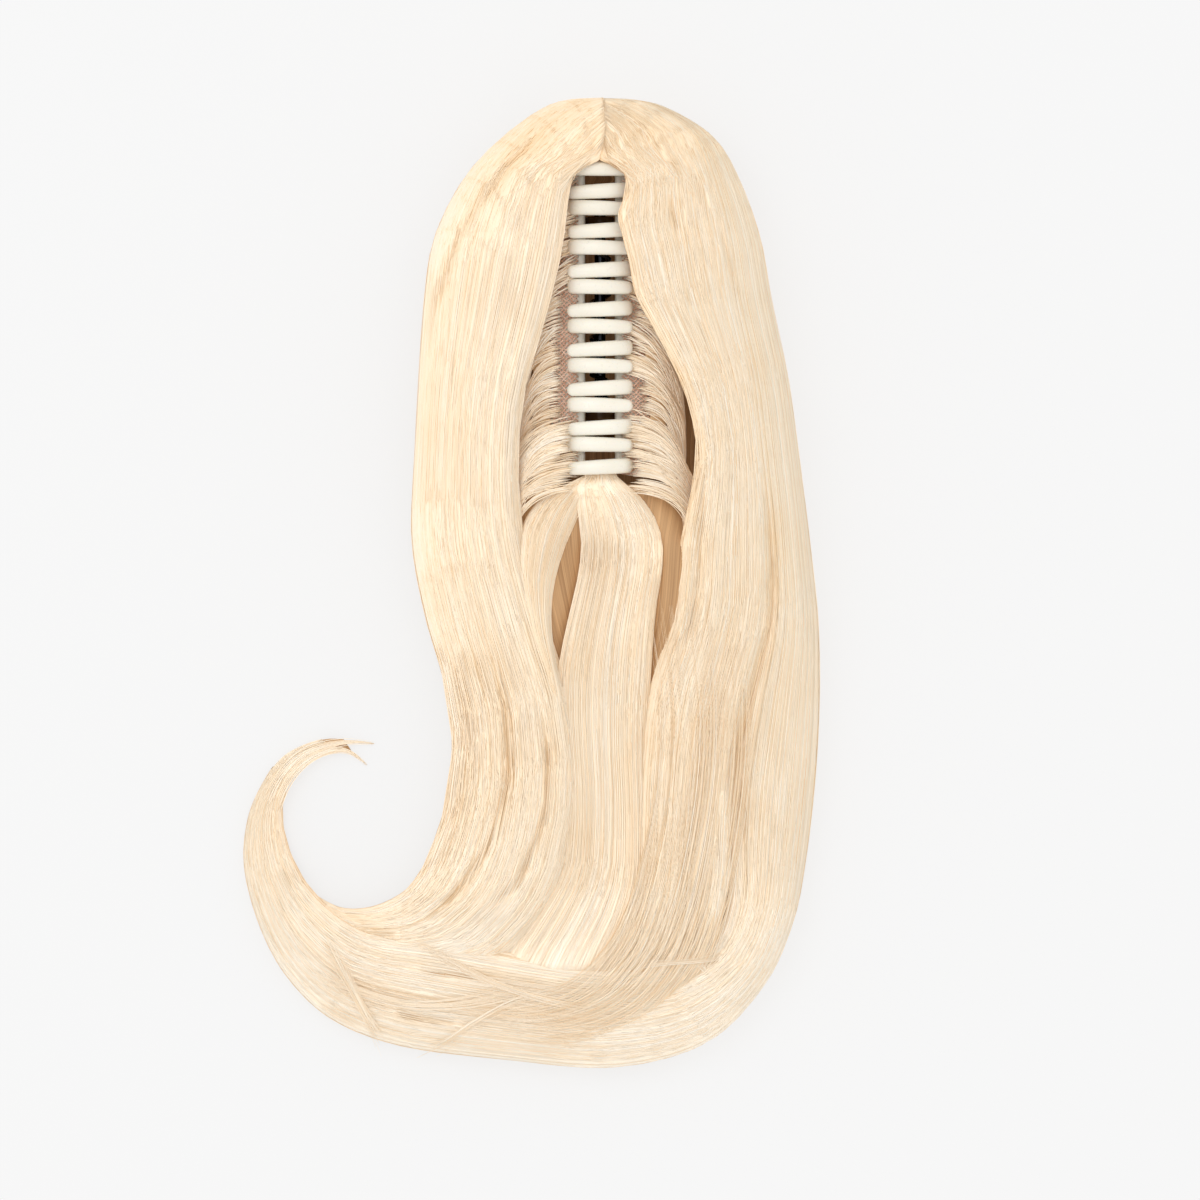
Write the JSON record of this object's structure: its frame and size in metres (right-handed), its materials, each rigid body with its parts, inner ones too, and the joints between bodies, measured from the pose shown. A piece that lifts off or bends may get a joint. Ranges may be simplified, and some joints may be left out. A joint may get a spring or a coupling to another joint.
{
  "type": "claw clip ponytail hairpiece",
  "caption": "Straight ponytail hairpiece sewn round a sprung claw clip with two toothed jaws, its ends swept into a curl, lying on its back.",
  "frame": {"origin": "the flat face of the hair's back layer under the middle of the claw, where the hairpiece rests on its back", "axes": "+Y along the claw's hinge to the crown, +X to the right as seen from the teeth, +Z from the surface up to the teeth"},
  "size_m": [0.2025, 0.3415, 0.0706],
  "materials": {
    "claw": "moulded cream plastic, softly glossy",
    "steel": "dark oiled spring steel",
    "net": "pinkish tan knitted net",
    "hair": "pale blonde fibre, silky along the strands"
  },
  "bodies": {
    "root": {"hair_back_layer": "hair", "hair_left_side": "hair", "hair_right_side": "hair", "hair_centre_lock": "hair", "hair_tail": "hair", "hinge_pin": "steel", "hinge_spring": "steel"},
    "left_jaw": {"claw_jaw_left": "claw", "net_left": "net"},
    "right_jaw": {"claw_jaw_right": "claw", "net_right": "net"}
  },
  "joints": [
    {"name": "left_jaw_hinge", "type": "hinge", "parent": "root", "child": "left_jaw", "pos_m": [0, 0, 0.026], "axis": [0, -1, 0], "range_deg": [0, 22], "stiffness_Nm_per_rad": 0.15, "springref_deg": -20.05},
    {"name": "right_jaw_hinge", "type": "hinge", "parent": "root", "child": "right_jaw", "pos_m": [0, 0, 0.026], "axis": [0, 1, 0], "range_deg": [0, 22], "stiffness_Nm_per_rad": 0.15, "springref_deg": -20.05}
  ],
  "couplings": [
    {"joint": "right_jaw_hinge", "follows": "left_jaw_hinge", "ratio": 1}
  ]
}
